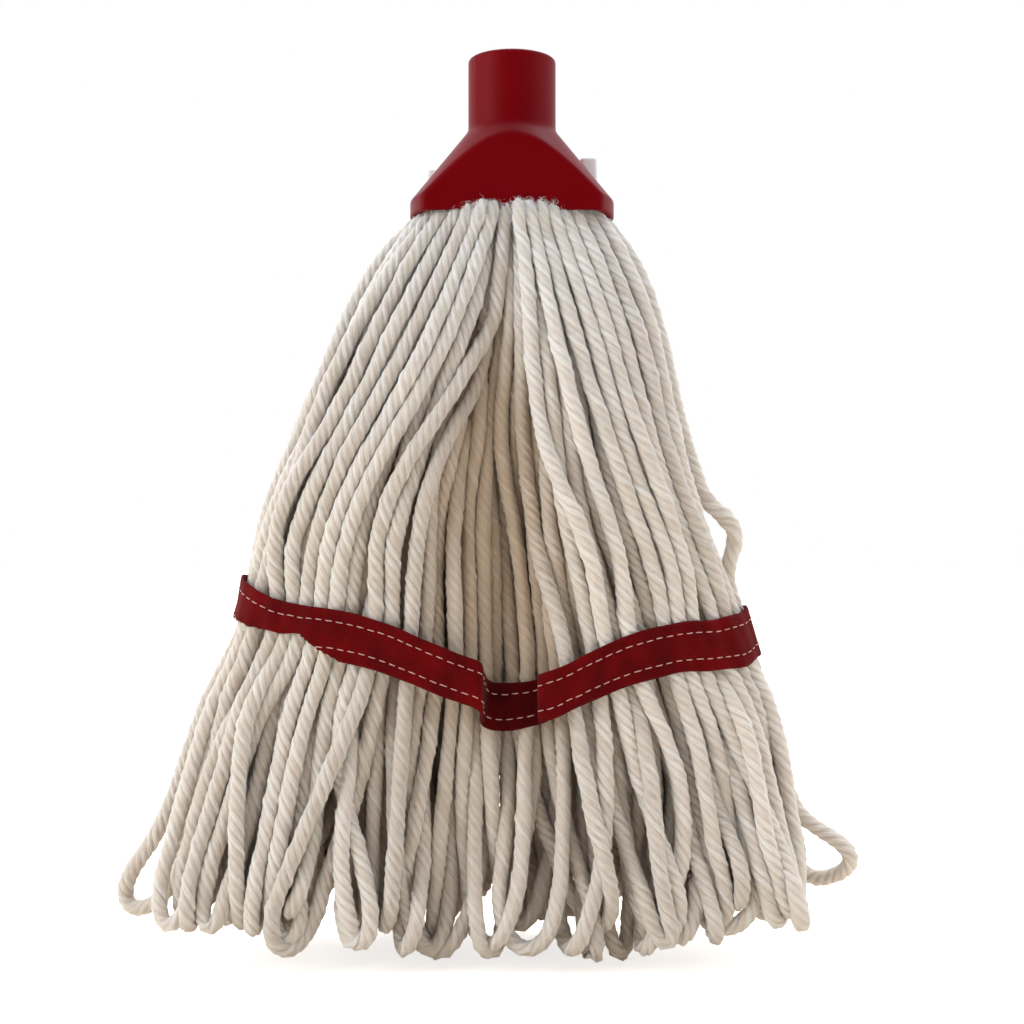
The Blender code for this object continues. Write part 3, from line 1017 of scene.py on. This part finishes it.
def hold_off_parting(points):
    """Presses strands back into the parting, which the ones beside it would fill."""
    x, y, z = points.T
    shallow = np.maximum(0.95 * parting(x, z) - (skirt(z)[2] + y), 0) * (y < 0)
    points[:, 1] = y + 0.5 * shallow


def hold_in(points, radius):
    hold_in_bell(points, radius)
    near = hold_in_tape(points, radius)
    hold_off_pleat(points, radius, near)
    hold_off_parting(points)
    box = -CAD_BOX[0][1] - 1.08 * radius
    points[:, 1] = np.clip(points[:, 1], -box, box)


def near_pairs(points, owner, index, reach):
    tree = KDTree(len(points))
    for i, point in enumerate(points):
        tree.insert(point, i)
    tree.balance()
    one, other = [], []
    for i, point in enumerate(points):
        for _, j, _ in tree.find_range(point, reach):
            if j > i and (owner[i] != owner[j] or abs(index[i] - index[j]) > 4):
                one.append(i)
                other.append(j)
    return np.array(one), np.array(other)


def pushes(points, one, other, radius):
    """How far each point is pushed by the strands that it presses on."""
    apart = points[other] - points[one]
    distance = np.linalg.norm(apart, axis=1)
    want = (radius[one] + radius[other]) * PRESSED
    push = np.maximum(want - distance, 0) / np.maximum(distance, 1e-5)
    move = apart * (push * 0.5)[:, None]
    total = np.zeros_like(points)
    np.add.at(total, other, move)
    np.add.at(total, one, -move)
    count = np.ones(len(points))
    np.add.at(count, other, push > 0)
    np.add.at(count, one, push > 0)
    return total / np.sqrt(count)[:, None]


def relax(paths):
    """Moves strands apart where they pass through each other, and keeps them smooth."""
    paths = [even_steps(path, STEP) for path in paths]
    owner = np.concatenate([np.full(len(path), i) for i, path in enumerate(paths)])
    index = np.concatenate([np.arange(len(path)) for path in paths])
    points = np.vstack(paths)
    start = points.copy()
    ends = np.zeros(len(points), bool)
    first = np.cumsum([0, *(len(path) for path in paths)])
    for a, b in zip(first, first[1:]):
        ends[a : a + 2] = ends[b - 2 : b] = True
    inner = np.flatnonzero(~ends)
    floor = SKIRT_FLOOR + STRAND_RADIUS * 1.08
    for turn in range(ROUNDS):
        radius = strand_radius(points[:, 2])
        if turn % PAIRS_EVERY == 0:
            one, other = near_pairs(points, owner, index, 2.6 * STRAND_RADIUS)
        points[inner] += pushes(points, one, other, radius)[inner] * PUSH
        smooth = (points[inner - 1] + points[inner + 1]) / 2 - points[inner]
        points[inner] += smooth * SMOOTHING
        points[:, 2] = np.maximum(points[:, 2], floor)
        hold_in(points, radius)
        points[ends] = start[ends]
    return [points[a:b] for a, b in zip(first, first[1:])]


def soften(path):
    """Takes the small kinks out of a strand."""
    for _ in range(SOFTENING):
        path[1:-1] = (path[:-2] + 2 * path[1:-1] + path[2:]) / 4
    return path


def let_down(path, lowest):
    """Lowers a loop below the tape to its own height again, which smoothing has drawn up."""
    share = smoothstep((TAPE_LEVEL - path[:, 2]) / (TAPE_LEVEL - path[:, 2].min() - 25 * MM))
    path[:, 2] -= (path[:, 2].min() - lowest) * share
    return path


def nearest_path(paths, tip):
    return int(np.argmin([np.linalg.norm(path - tip, axis=1).min() for path in paths]))


def add_strays(paths):
    """Pulls the nearest strand out to each place where a loop stands off the skirt."""
    for _, tip, reach in STRAYS:
        path = paths[nearest_path(paths, tip)]
        at = int(np.argmin(np.linalg.norm(path - tip, axis=1)))
        steps = np.abs(np.arange(len(path)) - at) * RING_STEP
        path += (tip - path[at]) * np.exp(-((steps / reach) ** 2))[:, None]


def climb_lip(path):
    """Lets a strand at the front of the mouth swell over the bell's lip, most on both sides of the middle."""
    x, y, z = path.T
    hump = np.exp(-(((np.abs(x) - 7 * MM) / (12 * MM)) ** 2)) + 0.25 * np.exp(-((x / (28 * MM)) ** 4))
    reach = LIP_SWELL * hump / 1.2 * RANDOM.uniform(0.6, 1.15)
    outer = np.clip((-y - 8 * MM) / (5 * MM), 0, 1)
    path[:, 1] = y - reach * outer * np.exp(-(((z - MOUTH + 1 * MM) / LIP_HEIGHT) ** 2))


# Yarn pieces


def stands_for(path):
    """The yarn solids that a loop stands for: the ones at its two legs, level with the tape."""
    names = set()
    for half in (path[: len(path) // 2], path[len(path) // 2 :]):
        x, y, z = half[np.argmin(np.abs(half[:, 2] - TAPE_LEVEL))]
        middle, half_width, _ = skirt(z)
        column = int(np.clip((x - middle) / half_width * 4 + 5, 1, COLUMNS))
        names.add(f"yarn_{'front' if y < 0 else 'back'}_{column}")
    return names


def outside_box(path):
    low, high = np.array(CAD_BOX[0]), np.array(CAD_BOX[1])
    over = np.maximum(low - path + STRAND_RADIUS * 1.1, path + STRAND_RADIUS * 1.1 - high)
    return over.max(initial=-1.0)


def join(name, objects):
    """One object that holds the meshes of several, with their attributes."""
    with bpy.context.temp_override(
        active_object=objects[0], selected_editable_objects=objects, selected_objects=objects
    ):
        bpy.ops.object.join()
    objects[0].name = name
    objects[0].data.name = name
    return objects[0]


def blend_yarn(obj):
    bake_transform(obj)


def make_paths():
    """The strands' middle lines, and the number of points on each one's plies."""
    paths = make_loops()
    lowest = [path[:, 2].min() for path in paths]
    paths = [let_down(soften(bspline(path, RING_STEP)), low) for path, low in zip(relax(paths), lowest)]
    add_strays(paths)
    for path in paths:
        climb_lip(path)
    depths = [np.median(depth_under(path[path[:, 2] < MOUTH])) for path in paths]
    detail = [next(row for row in DETAIL if depth > row[0]) for depth in depths]
    return [even_steps(path, step) for path, (_, _, step) in zip(paths, detail)], [row[1] for row in detail]


def build_yarn(material):
    """The strays and the strands nearest the box's sides stay objects of their own, and the rest are joined in
    groups.
    """
    paths, per_ply = make_paths()
    strays = {nearest_path(paths, tip): {node} for node, tip, _ in STRAYS}
    order = sorted(range(len(paths)), key=lambda i: outside_box(paths[i]), reverse=True)
    declared = {*strays, *[i for i in order if i not in strays][: MOST_CORDS - len(strays)]}
    groups = [[] for _ in range(LOOP_GROUPS)]
    for i, path in enumerate(paths):
        strand = strand_mesh(f"yarn_loop_{i:02d}", path, material, seed=i, per_ply=per_ply[i])
        nodes = stands_for(path) | strays.get(i, set())
        if i not in declared:
            groups[sum(len(group) for group in groups) % LOOP_GROUPS].append((strand, nodes))
            continue
        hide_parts(*nodes)
        blend_yarn(strand)
    for i, group in enumerate(groups):
        inner = join(f"yarn_inner_{i + 1}", [strand for strand, _ in group])
        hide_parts(*set.union(*(nodes for _, nodes in group)))
        blend_yarn(inner)
    build_folds(material)
    build_fuzz(paths, material)


def build_folds(material):
    """Inside the bell, the yarn goes up from the front, over the retainer's bar and down at the back."""
    low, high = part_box("yarn_fold_top")
    rise = high.z - FOLD_RADIUS - 1 * MM - FOLD_BOTTOM
    folds = []
    for i in range(FOLDS):
        x = low.x + FOLD_RADIUS + (high.x - low.x - 2 * FOLD_RADIUS) * i / (FOLDS - 1)
        angles = np.linspace(math.pi, 0, 16)
        arch = [(x, FOLD_REACH * math.cos(a), FOLD_BOTTOM + rise * math.sin(a)) for a in angles]
        path = bspline(np.array(arch), RING_STEP)
        name = f"yarn_fold_{i:02d}"
        folds.append(strand_mesh(name, path, material, seed=200 + i, per_ply=3, radius=FOLD_RADIUS))
    strand = join("yarn_folds", folds)
    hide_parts("yarn_fold_front", "yarn_fold_top", "yarn_fold_back")
    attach(strand, "socket")


def fuzz_roots(paths, random):
    """Where loose fibres stand, which way is out, and which way the yarn runs there."""
    every = np.vstack(paths)
    tangent = np.vstack([np.gradient(path, axis=0) for path in paths])
    tangent /= np.linalg.norm(tangent, axis=1)[:, None]
    off_tape = np.abs(every[:, 2] - tape_height(every[:, 0])) > 13 * MM
    below = np.flatnonzero((every[:, 2] < MOUTH) & off_tape)
    lip = np.flatnonzero((np.abs(every[:, 2] - MOUTH) < 3.5 * MM) & (np.abs(every[:, 1]) > 15.5 * MM))
    chosen = np.concatenate([random.choice(below, STRAND_FIBRES), random.choice(lip, LIP_FIBRES)])
    outward = random.normal(size=(len(chosen), 3)) + every[chosen] * (12, 40, 0)
    tangent = tangent[chosen]
    outward -= tangent * (outward * tangent).sum(1)[:, None]
    outward /= np.linalg.norm(outward, axis=1)[:, None]
    start = every[chosen] + outward * strand_radius(every[chosen][:, 2:]) * 0.93
    return start, outward, tangent


def build_fuzz(paths, material):
    """Loose fibres that stand off the yarn, thickest at the mouth."""
    random = np.random.default_rng(7)
    start, outward, tangent = fuzz_roots(paths, random)
    count = len(start)
    aside = np.cross(tangent, outward)
    length = random.uniform(0.8, 3, count)[:, None] * MM
    flat = tangent * random.choice([-1, 1], count)[:, None]
    curl = aside * random.normal(0, 0.6, count)[:, None]
    t = np.linspace(0, 1, len(FIBRE_TAPER))
    rise = 0.5 * np.sin(t * 2.4) * random.uniform(0.15, 1, (count, 1))
    path = (
        start[:, None]
        + (length * flat)[:, None] * t[None, :, None]
        + (length * outward)[:, None] * rise[..., None]
        + (length * curl)[:, None] * (t**2)[None, :, None]
    )
    turns = 2 * math.pi * np.arange(FIBRE_SIDES) / FIBRE_SIDES
    rings = rings_along(path, outward[:, None], aside[:, None], (FIBRE_RADIUS * FIBRE_TAPER)[:, None], turns)
    each = len(t) * FIBRE_SIDES
    faces = grid_faces(len(t), FIBRE_SIDES)[None] + each * np.arange(count)[:, None, None]
    fuzz = make_mesh("yarn_fuzz", rings.reshape(-1, 3), faces.reshape(-1, 4), material)
    set_floats(fuzz, "tone", np.full(each * count, 0.1))
    blend_yarn(fuzz)


# Tape


def on_outline(place, across, over):
    """A point of the tape: its place round the skirt, how far across the tape, and how far off the yarn."""
    c, s = section(place)
    x = BAND_HALF_WIDTH * c
    for _ in range(4):
        z = tape_height(x, across)
        middle, half_width, half_depth = skirt(z)
        x = middle + (half_width + over) * c
    return np.stack([x, (half_depth + over) * s, z], axis=-1)


def tape_rows():
    """Rows of points across the tape, all the way round from the back, with the pleat at the front."""
    places = np.linspace(0.75, 1.75, 700)
    rows = []
    for across in np.linspace(-1, 1, TAPE_ROWS):
        line = on_outline(places, across, TAPE_OVER)
        front = line[:, 1] < 0
        left = line[front & (line[:, 0] < PLEAT_LEFT) | ~front & (places < 1.2)]
        right = line[front & (line[:, 0] > PLEAT_RIGHT) | ~front & (places >= 1.2)]
        surface = left[-1][1]
        inner = []
        for x, depth, drop in PLEAT:
            lean = 0.8 * MM * across * (depth > 3)
            inner.append((x * MM + lean, surface + depth * MM, tape_height(x * MM, across) - drop * MM))
        # the cloth stands up a little where it comes out of the pleat
        lift = 1.6 * MM * np.exp(-(((right[:, 0] - PLEAT_RIGHT) / (13 * MM)) ** 2)) * (right[:, 1] < 0)
        right[:, 1] -= lift
        line = np.vstack([left, inner, right])
        rows.append(even_count(bspline(even_steps(line, 2.2 * MM), 1 * MM), TAPE_STEPS))
    return np.array(rows)


def waves_along(count, sizes, random):
    """A smooth random row that closes on itself. sizes has how many waves go round, and how high they are."""
    angle = 2 * math.pi * np.arange(count) / count
    row = np.zeros(count)
    for waves, size in sizes:
        for k in range(max(1, waves - 3), waves + 4):
            row += size / 2 * random.normal() * np.sin(k * angle + random.uniform(0, 6.3))
    return row


def unit(vectors):
    return vectors / np.linalg.norm(vectors, axis=-1)[..., None]


def crumple(rows, random):
    """The tape's rows with low waves in them, and which way is out at each point."""
    along = unit(np.roll(rows, -1, axis=1) - np.roll(rows, 1, axis=1))
    across = unit(np.gradient(rows, axis=0))
    out = unit(np.cross(along, across))
    count = rows.shape[1]
    out *= np.sign((out[:, : count // 4] * rows[:, : count // 4]).sum())
    share = np.linspace(-1, 1, TAPE_ROWS)[:, None]
    # yarn under the cloth shows through as low bumps, and the edges wander
    bumps = waves_along(count, [(62, 0.12 * MM), (34, 0.16 * MM), (13, 0.25 * MM)], random)
    edge = share * waves_along(count, [(30, 0.12 * MM)], random)
    shift = waves_along(count, [(9, 0.45 * MM)], random)
    slack = np.abs(share) ** 3 * waves_along(count, [(24, 0.2 * MM)], random)
    return rows + out * (bumps + slack + 0.25 * MM)[..., None] + across * (edge + shift)[..., None], out


def tuck_under(rows, out):
    """Turns the lower hem under itself where it is tucked, and says how far each point has turned."""
    share = np.linspace(-1, 1, TAPE_ROWS)[:, None]
    middle = rows[TAPE_ROWS // 2]
    width = look_up(middle[:, 0], TUCK) * smoothstep((8 * MM - middle[:, 1]) / (16 * MM))
    fold = -1 + width[None, :] / (TAPE_WIDTH / 2)
    place = np.maximum(share, 2 * fold - share)
    low = np.clip((place + 1) / 2 * (TAPE_ROWS - 1), 0, TAPE_ROWS - 1.001)
    column = np.arange(rows.shape[1])[None, :]
    k, part = low.astype(int), (low % 1)[..., None]
    folded = rows[k, column] * (1 - part) + rows[k + 1, column] * part
    turned = np.clip((fold - share) * TAPE_WIDTH / 2 / (1 * MM), 0, 1)[..., None]
    lift = TUCK_LIFT * np.clip(width / (4 * MM), 0, 1)[None, :, None]
    return folded + out * lift, turned


def build_tape(material, thread):
    random = np.random.default_rng(5)
    rows, out = crumple(tape_rows()[:, :-1], random)
    count = rows.shape[1]
    length = float(np.linalg.norm(np.diff(rows[TAPE_ROWS // 2], axis=0), axis=1).sum())
    rows, turned = tuck_under(rows, out)
    # thinner at both edges, and the other way up where the hem is turned under
    rim = np.array([0.35 if i in (0, TAPE_ROWS - 1) else 1.0 for i in range(TAPE_ROWS)])[:, None, None]
    half = TAPE_THICKNESS / 2 * rim * (1 - 2 * turned)
    outside = rows + out * (half - TUCK_GAP * 2 * turned)
    inside = rows - out * (half + TUCK_GAP * 2 * turned)
    # the outside from edge to edge, then the inside back
    shell = np.concatenate([outside, inside[::-1]])
    levels = len(shell)
    points = shell.transpose(1, 0, 2).reshape(-1, 3)
    tape = make_mesh("tape_cloth", points, grid_faces(count, levels, close_rows=True), material)
    recalculate(tape)
    share = np.linspace(-1, 1, TAPE_ROWS)
    cloth = np.zeros((count, levels, 3))
    cloth[..., 0] = np.linspace(0, length, count, endpoint=False)[:, None]
    cloth[..., 1] = TAPE_WIDTH / 2 * np.concatenate([share, share[::-1]])[None, :]
    set_floats(tape, "cloth", cloth.reshape(-1, 3))
    # pleat: how deep the cloth lies in the pleat's recess at the front, for the material's painted shade
    in_pleat = (points[:, 1] < 0) & (np.abs(points[:, 0]) < 20 * MM)
    depth = ((skirt(points[:, 2])[2] + points[:, 1]) / PLEAT_DEPTH).clip(0, 1)
    set_floats(tape, "pleat", depth * in_pleat)
    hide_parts("tape_band")
    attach(tape, "skirt")
    for name, place in (("lower", -STITCH_PLACE), ("upper", STITCH_PLACE)):
        build_stitches(name, place, outside, out, thread, random)


def build_stitches(name, place, outside, out, material, random):
    """Running stitches that dip into the cloth between one and the next."""
    low = (place / (TAPE_WIDTH / 2) + 1) / 2 * (TAPE_ROWS - 1)
    k, part = int(low), low % 1
    line = outside[k] * (1 - part) + outside[k + 1] * part
    lengths = lengths_along(line)
    t = np.linspace(0, 1, STITCH_POINTS)
    radius = THREAD_RADIUS * np.sqrt(np.clip(1 - (2 * t - 1) ** 4, 0.04, 1))
    turns = 2 * math.pi * np.arange(THREAD_SIDES) / THREAD_SIDES
    each = STITCH_POINTS * THREAD_SIDES
    points, faces, caps = [], [], []
    start = 1 * MM
    while start < lengths[-1] - 4 * MM:
        dash = random.uniform(2.6, 3.2) * MM
        at = start + dash * t
        path = points_at(at, lengths, line)
        lift = unit(points_at(at, lengths, out[k]))
        path += lift * (0.28 * MM * np.sin(math.pi * t) - 0.12 * MM)[:, None]
        path[:, 2] += random.uniform(-0.15, 0.15) * MM
        base = each * len(points)
        points.append(rings_along(path, *sides_along(path), radius[:, None], turns).reshape(-1, 3))
        faces.append(grid_faces(STITCH_POINTS, THREAD_SIDES) + base)
        caps += [[base + i for i in cap] for cap in end_caps(STITCH_POINTS, THREAD_SIDES)]
        start += dash + random.uniform(0.9, 1.3) * MM
    stitches = make_mesh(f"stitches_{name}", np.vstack(points), np.vstack(faces), material, caps)
    recalculate(stitches)
    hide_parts(f"stitch_{name}_front", f"stitch_{name}_back")
    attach(stitches, "skirt")
    return stitches


make_stage()
build_socket(socket_material())
build_retainer(retainer_material())
build_yarn(yarn_material())
build_tape(tape_material(), thread_material())
